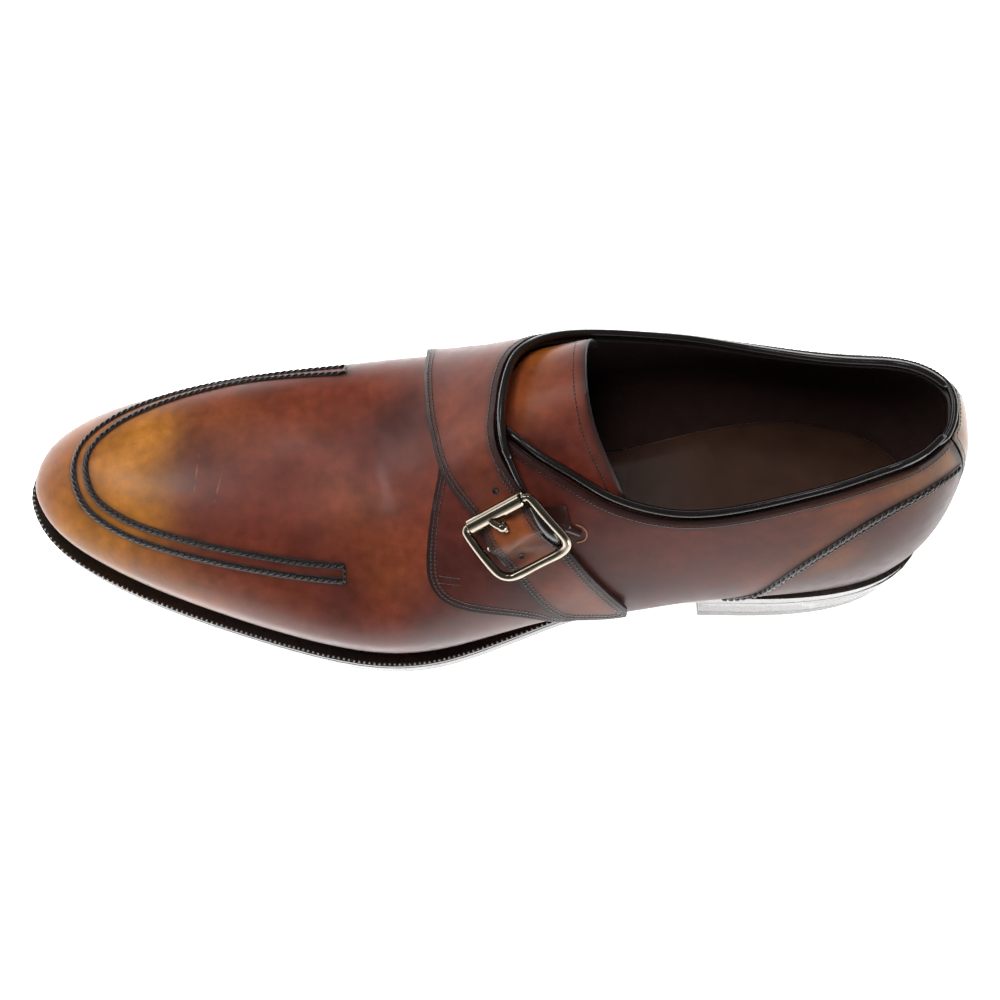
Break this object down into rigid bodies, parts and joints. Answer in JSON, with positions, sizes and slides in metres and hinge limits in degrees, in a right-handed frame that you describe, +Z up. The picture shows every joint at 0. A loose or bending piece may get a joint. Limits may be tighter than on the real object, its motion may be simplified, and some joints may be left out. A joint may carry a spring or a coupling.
{
  "type": "monk strap shoe",
  "caption": "Low leather dress shoe with a moccasin apron, a wide strap across the instep fastened by a roller buckle, a tongue and a stacked heel.",
  "frame": {"origin": "centre of the heel's tread, on the floor", "axes": "+Z up, toe towards -X, outer (lateral) side towards -Y, inner (medial) side towards +Y"},
  "size_m": [0.3085, 0.1014, 0.095],
  "materials": {
    "sole_edge": "polished dark leather edge",
    "heel_rubber": "matte",
    "sock_leather": "matte",
    "tan_leather": "hand-patinated, glossy",
    "brown_leather": "hand-patinated, glossy",
    "golden_leather": "glossy",
    "black_edge": "glossy",
    "nickel": "polished nickel"
  },
  "bodies": {
    "root": {"outsole": "sole_edge", "welt": "sole_edge", "heel_top_piece": "heel_rubber", "heel_stack": "sole_edge", "insole": "sock_leather", "upper": "tan_leather", "tongue": "tan_leather", "quarter_lateral": "brown_leather", "quarter_medial_strap": "brown_leather", "heel_tab": "golden_leather", "binding_lateral": "black_edge", "binding_medial": "black_edge", "seam_apron_outer": "black_edge", "seam_apron_inner": "black_edge", "seam_counter_lateral": "black_edge", "seam_counter_medial": "black_edge", "buckle_frame": "nickel", "buckle_roller": "nickel", "buckle_pin_bar": "nickel", "buckle_prong": "nickel", "buckle_chape": "black_edge"}
  },
  "joints": []
}
